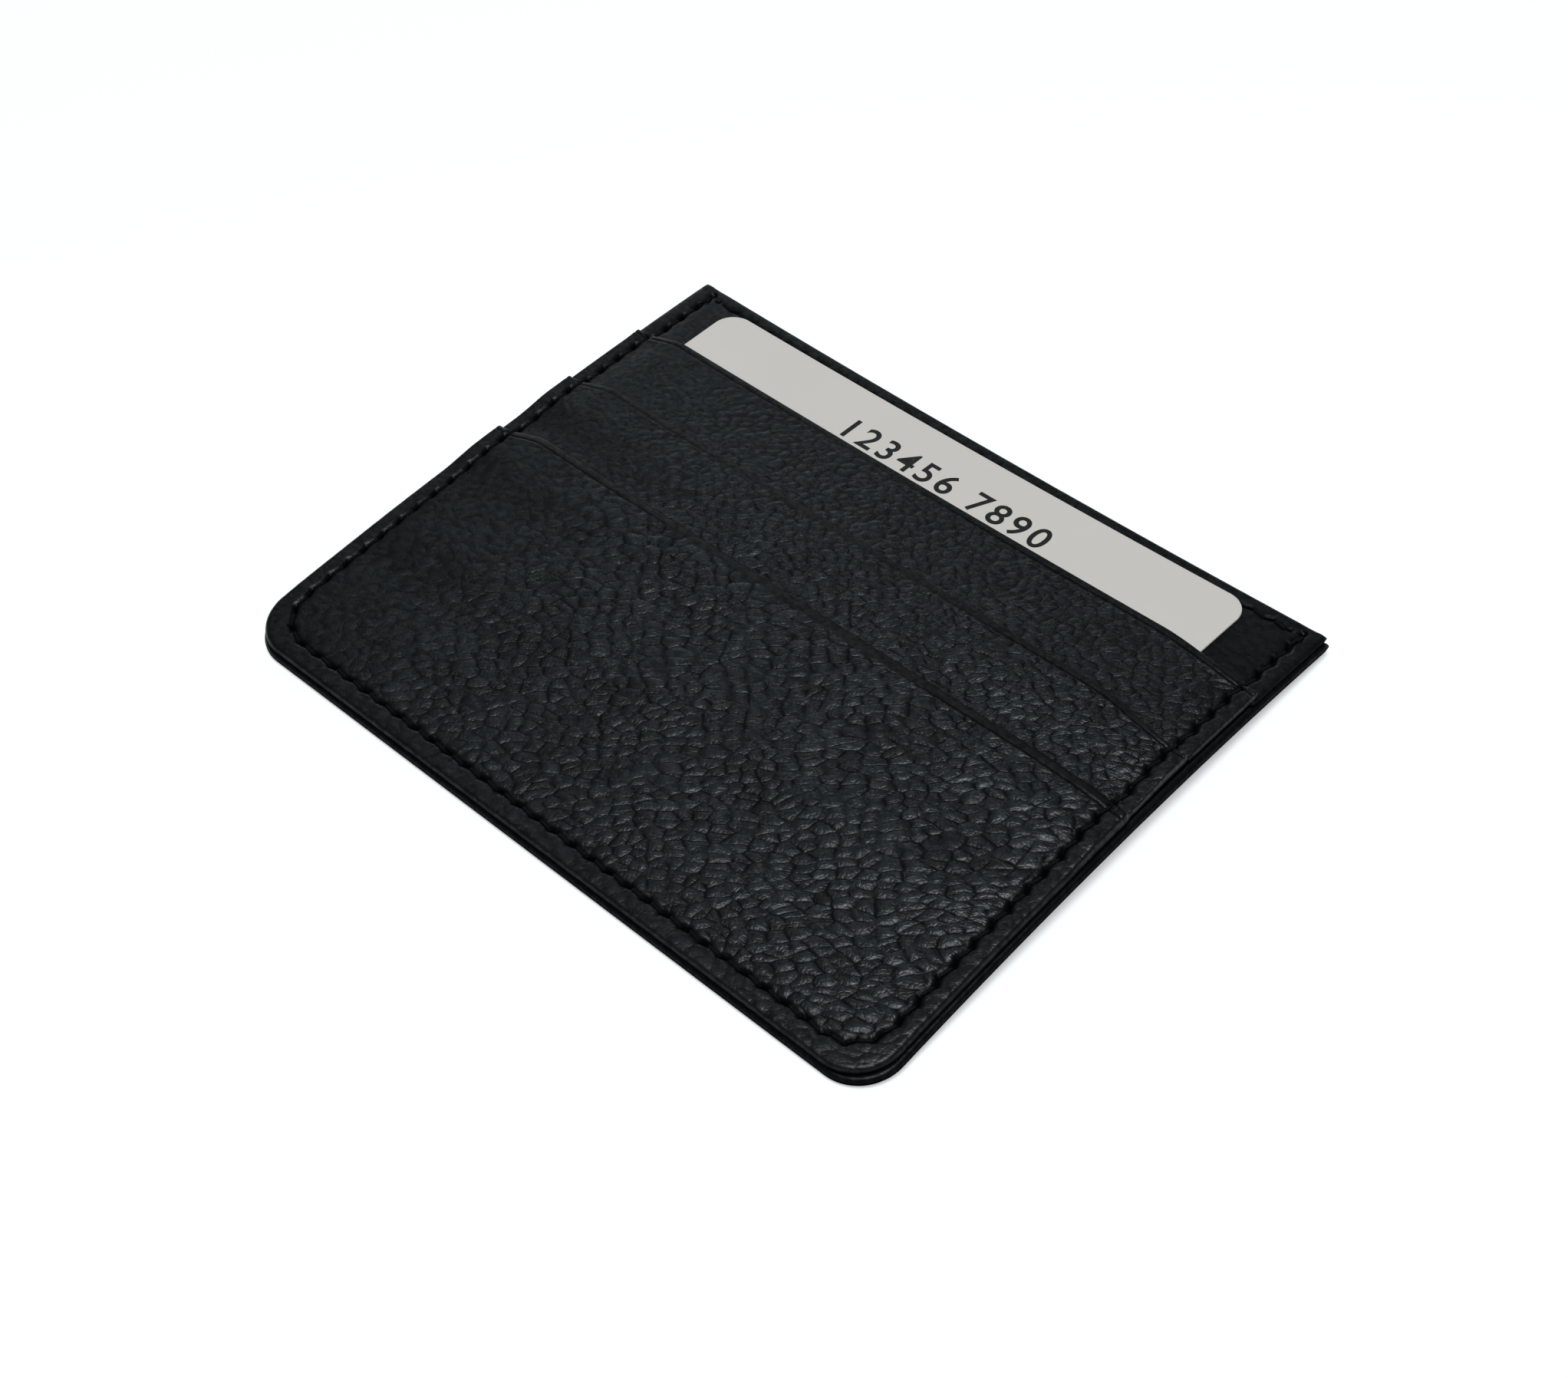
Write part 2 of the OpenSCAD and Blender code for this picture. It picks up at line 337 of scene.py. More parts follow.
def outward(points):
    """Mitred outward direction at each point of a closed loop."""
    ahead = np.roll(points, -1, 0) - points
    ahead /= np.linalg.norm(ahead, axis=1)[:, None]
    area = np.sum(points[:, 0] * np.roll(points[:, 1], -1) - np.roll(points[:, 0], -1) * points[:, 1])
    normal = np.stack([ahead[:, 1], -ahead[:, 0]], 1) * np.sign(area)
    before = np.roll(normal, 1, 0)
    mitre = (normal + before) / (1 + np.sum(normal * before, 1))[:, None]
    length = np.linalg.norm(mitre, axis=1)[:, None]
    return mitre * np.minimum(1, MITRE_MAX / length)


class Sheet:
    """Plan of one sheet of leather or card, before it gets its heights."""

    def __init__(self, xs, ys, ds, half_w, low, high, r=CORNER_R, round_low=False, round_high=False):
        turns = spaced(0, FINE / r, math.pi / 2)
        args = (half_w, low, high, r)
        rounds = (round_low, round_high)
        self.points, self.faces = indexed(plan(xs, ys, ds, *args, turns, *rounds))
        skip = slice(None, None, COARSE)
        coarse = plan(xs[skip], ys[skip], ds[skip], *args, turns[skip], *rounds)
        self.under, self.under_faces = indexed(coarse)
        self.loop = rim(self.faces)


def make_sheet(name, sheet, outer, inner, warp=None, edge_r=EDGE_R, pebble=None, painted_shade=None, grain=1.0):
    """Mesh object of a sheet. outer and inner give its heights, warp moves its plan, pebble tells how
    strong the grain is, the next function how much shade is painted on the leather, and grain is how
    many times smaller the pebbles are."""
    warp = warp or (lambda x, y: (x, y))
    x, y = warp(*sheet.points.T)
    none = np.zeros(len(x))
    amount = pebble(x, y) if pebble else none
    dark = painted_shade(x, y) if painted_shade else none
    top = outer(x, y)
    facing = 1 if np.mean(top) > np.mean(inner(x, y)) else -1
    if pebble:
        top = top + facing * PEBBLE * amount * (grain_height(x * grain, y * grain) - 0.6)
    layers = [(np.stack([x, y, top], 1), np.stack([x, y, none], 1), amount, dark)]

    base = np.stack([x, y], 1)[sheet.loop]
    shades = rim_painted_shade(facing) if painted_shade else np.zeros(RING_COUNT)
    layers += edge_rings(base, top[sheet.loop], inner(*base.T), edge_r, amount[sheet.loop], shades)

    number, inside = number_under(sheet)
    x, y = warp(*inside.T)
    none = np.zeros(len(x))
    layers.append((np.stack([x, y, inner(x, y)], 1), np.stack([x, y + INNER_SHIFT, none], 1), none, none))

    points, places, strength, deep = (np.concatenate(part) for part in zip(*layers))
    piece = mesh_object(name, points, sheet_faces(sheet, number))
    add_values(piece, "pebble", strength)
    # Painted shade for the leather's shader: stitch grooves, mouth edges and creases, and edge rings that
    # face the table.
    add_values(piece, "painted_shade", deep)
    where = (places * grain).astype(np.float32)
    piece.data.attributes.new("flat", "FLOAT_VECTOR", "POINT").data.foreach_set("vector", where.ravel())
    return piece


def edge_rings(base, z_out, z_in, edge_r, amount, shades):
    """Rings of points round a sheet's rounded edge, from its face to its inner side. Each has its points,
    their places on the grain, the grain's strength and the shade painted on it."""
    out = outward(base)
    none = np.zeros(len(base))
    rings = []
    for k, shade in enumerate(shades, 1):
        angle = math.pi * k / RING_COUNT
        height = z_in + (z_out - z_in) * (1 + math.cos(angle)) / 2
        points = np.column_stack([base + out * edge_r * math.sin(angle), height])
        place = np.column_stack([base + out * edge_r * angle, none])
        rings.append((points, place, amount * (1 - k / RING_COUNT) * 0.6, none + shade))
    return rings


def rim_painted_shade(facing):
    """Shade painted on each ring of an edge: least where it faces up, fully where it faces the table."""
    angles = np.arange(1, RING_COUNT) * math.pi / RING_COUNT
    shown = ease(0.1, 0.95, facing * np.cos(angles))
    return np.append(1 - shown * (0.8 if facing > 0 else 0.45), 0)


def number_under(sheet):
    """Number of each point of the inner face, and the points of it that the last ring doesn't give."""
    size = len(sheet.loop)
    last_ring = len(sheet.points) + (RING_COUNT - 1) * size
    place = {tuple(np.round(sheet.points[v], 4)): last_ring + k for k, v in enumerate(sheet.loop)}
    number, inside = [], []
    for key in map(tuple, np.round(sheet.under, 4)):
        if key not in place:
            place[key] = last_ring + size + len(inside)
            inside.append(key)
        number.append(place[key])
    return number, np.array(inside)


def sheet_faces(sheet, number):
    """Faces of a whole sheet: its detailed face, its rounded edge and its plain inner face."""
    count, size = len(sheet.points), len(sheet.loop)
    rings = [list(range(count + k * size, count + (k + 1) * size)) for k in range(RING_COUNT)]
    faces = list(sheet.faces)
    for a, b in zip([sheet.loop, *rings], rings):
        faces += [[a[k - 1], a[k], b[k], b[k - 1]] for k in range(size)]
    order = {v: k for k, v in enumerate(rings[-1])}
    for face in sheet.under_faces:
        faces.append(with_ring_points([number[v] for v in face], rings[-1], order))
    return faces


def with_ring_points(face, ring, order):
    """The face, with the ring's in-between points added along each side that lies on the ring."""
    size, full = len(ring), []
    for k, b in enumerate(face):
        a = face[k - 1]
        if a in order and b in order:
            gap = (order[b] - order[a]) % size
            back = size - gap
            if gap <= COARSE:
                full += [ring[(order[a] + n) % size] for n in range(1, gap)]
            elif back <= COARSE:
                full += [ring[(order[a] - n) % size] for n in range(1, back)]
        full.append(b)
    return full


def add_values(piece, name, values):
    piece.data.attributes.new(name, "FLOAT", "POINT").data.foreach_set("value", values.astype(np.float32))


def mesh_object(name, points, faces):
    """A smooth-shaded mesh object from points in millimetres, with its faces turned outwards."""
    mesh = bpy.data.meshes.new(name)
    mesh.from_pydata((points * MM).tolist(), [], faces)
    work = bmesh.new()
    work.from_mesh(mesh)
    bmesh.ops.recalc_face_normals(work, faces=work.faces)
    work.to_mesh(mesh)
    work.free()
    mesh.shade_smooth()
    piece = bpy.data.objects.new(name, mesh)
    bpy.context.scene.collection.objects.link(piece)
    return piece


# ---------------------------------------------------------------- nodes


def add(tree, kind, inputs=None, **settings):
    """A new node; an input that is a socket gets a link, and any other a value."""
    made = tree.nodes.new(kind)
    for key, value in settings.items():
        setattr(made, key, value)
    for key, value in (inputs or {}).items():
        if isinstance(value, bpy.types.NodeSocket):
            tree.links.new(value, made.inputs[key])
        else:
            made.inputs[key].default_value = value
    return made


def calc(tree, operation, a, b=0.0, c=0.0):
    return add(tree, "ShaderNodeMath", {0: a, 1: b, 2: c}, operation=operation).outputs[0]


def smooth(tree, value, low, high):
    """0 below low, 1 above high and smooth between them."""
    inputs = {"Value": value, "From Min": low, "From Max": high}
    return add(tree, "ShaderNodeMapRange", inputs, interpolation_type="SMOOTHSTEP").outputs["Result"]


def noise(tree, vector, scale, detail=2.0, rough=0.5):
    inputs = {"Vector": vector, "Scale": scale, "Detail": detail, "Roughness": rough}
    return add(tree, "ShaderNodeTexNoise", inputs, noise_dimensions="3D")


def turned(tree, vector, angle, scale):
    """The vector turned about Z and then scaled along each axis."""
    inputs = {"Vector": vector, "Angle": -angle}
    spun = add(tree, "ShaderNodeVectorRotate", inputs, rotation_type="Z_AXIS").outputs[0]
    return add(tree, "ShaderNodeVectorMath", {0: spun, 1: scale}, operation="MULTIPLY").outputs[0]


def cells(tree, vector, randomness=0.85):
    """Irregular cells: the distance to the nearest border, and a random shade for each cell."""
    inputs = {"Vector": vector, "Scale": 1.0, "Randomness": randomness}
    kind = "ShaderNodeTexVoronoi"
    edge = add(tree, kind, inputs, voronoi_dimensions="2D", feature="DISTANCE_TO_EDGE").outputs["Distance"]
    near = add(tree, kind, inputs, voronoi_dimensions="2D", feature="F1")
    split = "ShaderNodeSeparateColor" if tree.type == "SHADER" else "FunctionNodeSeparateColor"
    return edge, add(tree, split, {0: near.outputs["Color"]}).outputs[0]


def bent_by(tree, vector, scale, amount):
    """The vector, pushed about by a slow noise."""
    drift = noise(tree, vector, scale, 1.0).outputs["Color"]
    kind = "ShaderNodeVectorMath"
    drift = add(tree, kind, {0: drift, 1: (0.5, 0.5, 0.5)}, operation="SUBTRACT").outputs[0]
    drift = add(tree, kind, {0: drift, "Scale": amount}, operation="SCALE").outputs[0]
    return add(tree, kind, {0: vector, 1: drift}, operation="ADD").outputs[0]


def link_grain(tree, vector):
    """Pebble grain on a vector in millimetres: its height, its creases, its small grain and a tone."""
    bent = bent_by(tree, bent_by(tree, vector, 0.08, 4.0), 0.8, 0.4)
    edge, shade = cells(tree, turned(tree, bent, CELL_TURN, CELL_SCALE))
    away = calc(tree, "SUBTRACT", 1.0, calc(tree, "MINIMUM", calc(tree, "MULTIPLY", edge, 2.2), 1.0))
    dome = calc(tree, "SUBTRACT", 1.0, calc(tree, "POWER", away, 1.8))
    rows = noise(tree, turned(tree, bent, ROW_TURN, ROW_SCALE), 1.0, 1.0).outputs[0]
    rows = smooth(tree, rows, 0.3, 0.7)
    small_edge, tone = cells(tree, turned(tree, bent, SMALL_TURN, SMALL_SCALE))
    small = smooth(tree, small_edge, 0.0, 0.3)
    height = calc(tree, "MULTIPLY", dome, calc(tree, "MULTIPLY_ADD", shade, 0.3, 0.7))
    height = calc(tree, "MULTIPLY_ADD", rows, 0.4, calc(tree, "MULTIPLY", height, 0.7))
    open_crease = smooth(tree, noise(tree, bent, 0.6, 1.0).outputs[0], 0.32, 0.6)
    crease = calc(tree, "SUBTRACT", 1.0, smooth(tree, edge, 0.0, 0.13))
    crease = calc(tree, "MULTIPLY", crease, open_crease)
    return height, crease, small, tone


def grain_height(x, y):
    """Height of the pebble grain at each point, 0 to 1, by the same nodes as in the leather's shader."""
    tree = bpy.data.node_groups.new("grain", "GeometryNodeTree")
    tree.interface.new_socket("Geometry", in_out="INPUT", socket_type="NodeSocketGeometry")
    tree.interface.new_socket("Geometry", in_out="OUTPUT", socket_type="NodeSocketGeometry")
    entry, leave = tree.nodes.new("NodeGroupInput"), tree.nodes.new("NodeGroupOutput")
    height = link_grain(tree, tree.nodes.new("GeometryNodeInputPosition").outputs[0])[0]
    inputs = {"Geometry": entry.outputs[0], "Name": "height", "Value": height}
    store = add(tree, "GeometryNodeStoreNamedAttribute", inputs, data_type="FLOAT", domain="POINT")
    tree.links.new(store.outputs[0], leave.inputs[0])
    mesh = bpy.data.meshes.new("probe")
    mesh.from_pydata(np.stack([x, y, np.zeros(len(x))], 1).tolist(), [], [])
    probe = bpy.data.objects.new("probe", mesh)
    bpy.context.scene.collection.objects.link(probe)
    probe.modifiers.new("grain", "NODES").node_group = tree
    graph = bpy.context.evaluated_depsgraph_get()
    values = np.zeros(len(x), np.float32)
    probe.evaluated_get(graph).data.attributes["height"].data.foreach_get("value", values)
    bpy.data.objects.remove(probe)
    bpy.data.meshes.remove(mesh)
    bpy.data.node_groups.remove(tree)
    return values.astype(float)


# ---------------------------------------------------------------- materials


def new_material(name):
    """A node material with nothing but its shader and output: returns both and the tree."""
    material = bpy.data.materials.new(name)
    material.use_nodes = True
    tree = material.node_tree
    shader = next(n for n in tree.nodes if n.type == "BSDF_PRINCIPLED")
    return material, tree, shader


def blend_colour(tree, factor, a, b):
    made = add(tree, "ShaderNodeMix", {"Factor": factor}, data_type="RGBA")
    made.inputs[6].default_value = (*a, 1)
    made.inputs[7].default_value = (*b, 1)
    return made.outputs[2]


def link_colour(tree, shader, factor, dark, light):
    """Base colour that runs from dark to light with a factor."""
    tree.links.new(blend_colour(tree, factor, dark, light), shader.inputs["Base Color"])


def link_bump(tree, shader, height, strength, depth):
    """Bump of a depth in millimetres."""
    inputs = {"Strength": strength, "Distance": depth * MM, "Height": height}
    tree.links.new(add(tree, "ShaderNodeBump", inputs).outputs[0], shader.inputs["Normal"])


def leather_material():
    material, tree, shader = new_material("black_pebbled_leather")
    flat = add(tree, "ShaderNodeAttribute", attribute_name="flat").outputs["Vector"]
    amount = add(tree, "ShaderNodeAttribute", attribute_name="pebble").outputs["Fac"]
    height, crease, small, tone = link_grain(tree, flat)
    pores = noise(tree, flat, 5.5, 3.0, 0.6).outputs[0]
    cloudy = noise(tree, flat, 0.09, 3.0).outputs[0]
    # Painted highlight: the pebbles' tops get a lighter base colour and, further down, a stronger specular
    # level. The cloudy tone mixed in is the leather's own.
    painted_top_light = calc(tree, "MULTIPLY", height, amount)
    tint = calc(tree, "MULTIPLY_ADD", painted_top_light, 0.55, calc(tree, "MULTIPLY", cloudy, 0.5))
    colour = blend_colour(tree, tint, (0.0018, 0.0023, 0.0027), (0.0064, 0.0084, 0.0094))
    # Painted shade: the base colour is mixed towards near-black by the painted shade mask of the stitches,
    # mouths and edge rings.
    painted_shade = add(tree, "ShaderNodeAttribute", attribute_name="painted_shade").outputs["Fac"]
    dark = add(tree, "ShaderNodeMix", {"Factor": painted_shade, 6: colour}, data_type="RGBA")
    dark.inputs[7].default_value = (0.001, 0.001, 0.0012, 1)
    tree.links.new(dark.outputs[2], shader.inputs["Base Color"])
    # Painted shade: the specular level is lowered in the creases and where the painted shade mask is set.
    # The creases are also made rougher.
    crease_strength = calc(tree, "MINIMUM", calc(tree, "MULTIPLY", amount, amount), 1.1)
    deep = calc(tree, "MULTIPLY", calc(tree, "MULTIPLY", crease, 0.8), crease_strength)
    rough = calc(tree, "MULTIPLY_ADD", deep, 0.12, calc(tree, "MULTIPLY_ADD", cloudy, 0.12, 0.335))
    tree.links.new(rough, shader.inputs["Roughness"])
    level = calc(tree, "MULTIPLY_ADD", calc(tree, "MAXIMUM", deep, painted_shade), -0.5, 0.5)
    level = calc(tree, "MULTIPLY", level, calc(tree, "MULTIPLY_ADD", tone, 0.7, 0.55))
    level = calc(tree, "MULTIPLY", level, calc(tree, "MULTIPLY_ADD", painted_top_light, 0.65, 0.85))
    tree.links.new(level, shader.inputs["Specular IOR Level"])
    fine = calc(tree, "MULTIPLY", calc(tree, "MULTIPLY", crease, -1.0), crease_strength)
    fine = calc(tree, "MULTIPLY_ADD", small, calc(tree, "MULTIPLY_ADD", amount, 0.35, 0.12), fine)
    fine = calc(tree, "MULTIPLY_ADD", pores, 0.35, fine)
    link_bump(tree, shader, fine, 1.0, 0.035)
    return material


def cloth_material(name, dark, light, pitch):
    """Plain woven cloth, its two thread directions made from waves."""
    material, tree, shader = new_material(name)
    place = add(tree, "ShaderNodeTexCoord").outputs["Object"]
    scale = 1 / (pitch * MM) * math.pi / 10
    waves = []
    for direction in ("X", "Y"):
        inputs = {"Vector": place, "Scale": scale, "Distortion": 0.4, "Detail": 1.0, "Detail Scale": 2.0}
        waves.append(add(tree, "ShaderNodeTexWave", inputs, bands_direction=direction).outputs["Fac"])
    weave = calc(tree, "MAXIMUM", waves[0], waves[1])
    link_colour(tree, shader, weave, dark, light)
    shader.inputs["Roughness"].default_value = 0.8
    shader.inputs["Sheen Weight"].default_value = 0.2
    link_bump(tree, shader, weave, 0.6, 0.03)
    return material


def board_material():
    material, tree, shader = new_material("fibre_board")
    place = add(tree, "ShaderNodeTexCoord").outputs["Object"]
    fibres = noise(tree, turned(tree, place, 0.4, (900, 3500, 2000)), 1.0, 4.0, 0.7).outputs[0]
    link_colour(tree, shader, fibres, (0.16, 0.13, 0.10), (0.36, 0.31, 0.25))
    shader.inputs["Roughness"].default_value = 0.85
    link_bump(tree, shader, fibres, 0.5, 0.03)
    return material


def thread_material():
    material, tree, shader = new_material("black_thread")
    place = add(tree, "ShaderNodeTexCoord").outputs["Object"]
    fibres = noise(tree, place, 9000.0, 3.0, 0.6).outputs[0]
    link_colour(tree, shader, fibres, (0.002, 0.002, 0.003), (0.007, 0.008, 0.009))
    shader.inputs["Roughness"].default_value = 0.75
    shader.inputs["Specular IOR Level"].default_value = 0.12
    link_bump(tree, shader, fibres, 0.5, 0.02)
    return material


def card_material():
    material, tree, shader = new_material("satin_card")
    place = add(tree, "ShaderNodeTexCoord").outputs["Object"]
    mottle = noise(tree, place, 60.0, 3.0, 0.6).outputs[0]
    link_colour(tree, shader, mottle, (0.88, 0.80, 0.735), (0.93, 0.85, 0.785))
    tooth = noise(tree, place, 6000.0, 2.0, 0.6).outputs[0]
    tree.links.new(calc(tree, "MULTIPLY_ADD", tooth, 0.12, 0.40), shader.inputs["Roughness"])
    link_bump(tree, shader, tooth, 0.15, 0.01)
    return material


def ink_material():
    material, tree, shader = new_material("printed_ink")
    place = add(tree, "ShaderNodeTexCoord").outputs["Object"]
    patchy = noise(tree, place, 3000.0, 2.0).outputs[0]
    link_colour(tree, shader, patchy, (0.006, 0.006, 0.006), (0.016, 0.016, 0.016))
    shader.inputs["Roughness"].default_value = 0.5
    return material


LEATHER = leather_material()
LINING = cloth_material("black_lining", (0.006, 0.006, 0.007), (0.03, 0.03, 0.033), 0.35)
BOARD = board_material()
THREAD = thread_material()
CARD = card_material()
INK = ink_material()


def finish_piece(piece, material, slot, body, *nodes):
    piece.data.materials.clear()
    piece.data.materials.append(material)
    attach(piece, body)
    if nodes:
        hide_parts(*nodes)
    return piece


# ---------------------------------------------------------------- leather panels

INNER_X = HALF_W - CORNER_R
FRONT_W = HALF_W - SHELL_STEP
CREASE_IN = 1.0
MOUTH_BEND = 9.0
STRIP_GRAIN = 1.3

# How far each mouth falls at its left and right end
TOP_ENDS, MIDDLE_ENDS, BOTTOM_ENDS = (1.4, 1.2), (1.5, 1.9), (1.5, 0.3)

# The pressed line along each mouth: how clear it is at the left, and from where to where it clears again
TOP_CREASE, MIDDLE_CREASE, BOTTOM_CREASE = (0.6, -10, 10), (0.25, 0, 32), (0.6, 12, 26)


def side_insets():
    """Insets from a side edge, close together at the seam, from the inner grid out to the rounded edge."""
    rising = spaced(EDGE_R, 0.2, SEAM_IN - 0.9, CREASE_STEP, SEAM_IN + 0.9, FINE, CORNER_R)
    return rising[::-1]


def edge_curve(x, ends):
    """How far a pocket's mouth falls towards the bottom near its two ends."""
    left, right = ends
    return left * ease(43.0, 49.5, -x) + right * ease(36.0, 48.6, x)


def curved(x, y, mouth, ends):
    """Y, with the upper end of a pocket's leather bent to its curved mouth."""
    return y - edge_curve(x, ends) * ease(mouth - MOUTH_BEND, mouth, y)


def straightened(x, y, mouth, ends):
    """Y on the unbent leather, near enough."""
    return y + edge_curve(x, ends) * ease(mouth - MOUTH_BEND, mouth, y)


def crease_level(x, crease):
    """How clear the pressed line is that follows a mouth: least near the middle."""
    left, faint, clear = crease
    return 0.12 + 0.88 * ease(faint, clear, x) + left * ease(12.0, 30.0, -x)


def crease_offset(x, below):
    """Distance from the line that follows a mouth, which wavers a little."""
    return below - CREASE_IN + 0.04 * np.sin(x / 4.1)


def crease_marks(x, below, crease):
    """Depth of the pressed line that follows a mouth."""
    off = crease_offset(x, below)
    line = 0.09 * bell(off, 0.14) - 0.012 * bell(abs(off) - 0.36, 0.16)
    return crease_level(x, crease) * line + 0.03 * bell(below, 0.4)


def mouth_painted_shade(x, y, below, crease):
    """Shade painted on a pocket's leather: in the stitch holes, at its mouth's edge and along the line that
    follows it.
    """
    edge = 0.3 * bell(below, 0.15)
    line = 0.85 * crease_level(x, crease) * bell(crease_offset(x, below), 0.13)
    return np.maximum(stitch_painted_shade(x, y), np.maximum(edge, line))


def mouth_grain(x, y, below):
    """Strength of the pebbles, nearly pressed flat in the band between a mouth's edge and its line."""
    off_band = ease(CREASE_IN - 0.2, CREASE_IN + 0.5, below)
    return grain_strength(x, y) * (0.12 + 0.88 * off_band)


def grain_strength(x, y):
    """How strong the pebbles are: most at the lower right, faint at the left end, less outside the seam."""
    across = ease(-50, -8, x + 0.21 * (HALF_H - 20 - y))
    level = 0.25 + 0.75 * across + 0.22 * ease(5, 42, x)
    level *= 0.7 + 0.3 * ease(-34, 0, -y)
    return level * (0.5 + 0.5 * ease(0.0, 1.4, off_seam(x, y)))


def wrap(x, y, plain, edge_low):
    """Inner height of a sheet that is turned over its side edge."""
    turned_in = 1 - ease(WRAP_IN - 0.3, WRAP_IN + 0.2, FRONT_W - abs(x))
    return plain + (edge_low - plain) * turned_in


def make_strip(name, node, mouth, low, top_of, ends, crease):
    """An upper pocket's leather: a band across the holder with a curved, creased mouth."""
    hidden = low + STRIP_TAIL

    def outer(x, y):
        straight = straightened(x, y, mouth, ends)
        z = settle(x, y, top_of(straight)) + swell(x, y)
        return z - seam_marks(x, y) - crease_marks(x, mouth - straight, crease)

    def inner(x, y):
        plain = settle(x, y, top_of(straightened(x, y, mouth, ends)) - STRIP_T)
        return wrap(x, y, plain, WRAP_LOW + bow(x, y))

    def narrow(x, y):
        """The hidden tail is narrower, so that the next pocket's leather can turn over the edge."""
        y = curved(x, y, mouth, ends)
        return x * (1 - (WRAP_IN + 0.2) / FRONT_W * (1 - ease(hidden - 2.6, hidden - 1.4, y))), y

    def pebble(x, y):
        return mouth_grain(x, y, mouth - straightened(x, y, mouth, ends))

    def painted_shade(x, y):
        return mouth_painted_shade(x, y, mouth - straightened(x, y, mouth, ends), crease)

    ys = spaced(low + EDGE_R, 0.8, hidden - 0.5, FINE, mouth - 2.0, CREASE_STEP, mouth - EDGE_R / 2)
    xs = spaced(-(FRONT_W - CORNER_R), FINE, FRONT_W - CORNER_R)
    sheet = Sheet(xs, ys, side_insets(), FRONT_W, low, mouth)
    piece = make_sheet(name, sheet, outer, inner, narrow, EDGE_R / 2, pebble, painted_shade, STRIP_GRAIN)
    return finish_piece(piece, LEATHER, "leather", "holder", node)


def top_strip_top(y):
    return STRIP_TOP + 0.12 * ease(MOUTH_1 - 3.5, MOUTH_1, y)


def middle_strip_top(y):
    return MIDDLE_TOP - STRIP_T * (1 - ease(MOUTH_3 + 1.0, MOUTH_2 - STRIP_TAIL, y))


def bottom_panel_top(y):
    rim_top = BACKING_TOP + LEATHER_T
    over_linings = 0.2 * ease(-40, -30, y)
    over_card = 0.5 * ease(GAP_LOW - 10, GAP_LOW - 0.5, y)
    over_tail = (BOTTOM_TOP - rim_top - 0.7) * ease(-8, MOUTH_3 - STRIP_TAIL, y)
    return rim_top + over_linings + over_card + over_tail


def make_bottom_panel():
    """The large front panel, rounded at its lower corners and turned over the edge all round."""

    def warp(x, y):
        return x, curved(x, y, MOUTH_3, BOTTOM_ENDS)

    def outer(x, y):
        straight = straightened(x, y, MOUTH_3, BOTTOM_ENDS)
        z = settle(x, y, bottom_panel_top(straight)) + swell(x, y)
        return z - seam_marks(x, y) - crease_marks(x, MOUTH_3 - straight, BOTTOM_CREASE)

    def inner(x, y):
        straight = straightened(x, y, MOUTH_3, BOTTOM_ENDS)
        plain = settle(x, y, bottom_panel_top(straight) - LEATHER_T)
        edge = 1 - ease(WRAP_IN - 0.3, WRAP_IN + 0.2, inset(x, y, FRONT_W, HALF_H - SHELL_STEP / 2))
        return plain + (WRAP_LOW + bow(x, y) - plain) * edge

    def pebble(x, y):
        return mouth_grain(x, y, MOUTH_3 - straightened(x, y, MOUTH_3, BOTTOM_ENDS))

    def painted_shade(x, y):
        below = MOUTH_3 - straightened(x, y, MOUTH_3, BOTTOM_ENDS)
        return mouth_painted_shade(x, y, below, BOTTOM_CREASE)

    low = -HALF_H + SHELL_STEP / 2
    ys = spaced(low + CORNER_R, FINE, MOUTH_3 - 2.0, CREASE_STEP, MOUTH_3 - EDGE_R / 2)
    xs = spaced(-(FRONT_W - CORNER_R), FINE, FRONT_W - CORNER_R)
    sheet = Sheet(xs, ys, side_insets(), FRONT_W, low, MOUTH_3, round_low=True)
    piece = make_sheet("bottom_pocket_leather_skin", sheet, outer, inner, warp, EDGE_R, pebble, painted_shade)
    return finish_piece(piece, LEATHER, "leather", "holder", "bottom_pocket_leather")


def make_backing():
    """The full-height leather behind the card: only its upper band shows."""

    def outer(x, y):
        z = settle(x, y, BACKING_TOP) + 0.6 * swell(x, y)
        return z - (seam_marks(x, y) + hem_marks(x, y)) * ease(MOUTH_1 - 5, MOUTH_1 - 2, y)

    def inner(x, y):
        hem = ease(HALF_H - HEM_DEPTH - 1.0, HALF_H - HEM_DEPTH, y)
        plain = FRONT_LOW - (FRONT_LOW - HEM_TOP - 0.03) * hem
        shown = ease(MOUTH_1 - 3.0, MOUTH_1 - 2.2, y)
        edge = (1 - ease(WRAP_IN - 0.3, WRAP_IN + 0.2, FRONT_W - abs(x))) * shown
        return plain + (min(WRAP_LOW, FRONT_LOW) - plain) * edge + bow(x, y)

    def narrow(x, y):
        pull = (WRAP_IN + 0.2) * (1 - ease(MOUTH_1 - 3.4, MOUTH_1 - 2.2, y))
        return x * (1 - pull / FRONT_W), y

    def pebble(x, y):
        return np.full_like(x, 0.10)

    low = -HALF_H + SHELL_STEP / 2 + WRAP_IN + 0.2
    ys = spaced(low + CORNER_R, 1.0, MOUTH_1 - 4, FINE, HALF_H - 4, CREASE_STEP * 1.5, HALF_H - EDGE_R)
    xs = spaced(-(FRONT_W - CORNER_R), FINE, FRONT_W - CORNER_R)
    sheet = Sheet(xs, ys, side_insets(), FRONT_W, low, HALF_H, round_low=True)
    piece = make_sheet("front_backing_skin", sheet, outer, inner, narrow, EDGE_R, pebble, stitch_painted_shade)
    return finish_piece(piece, LEATHER, "leather", "holder", "front_backing_leather")


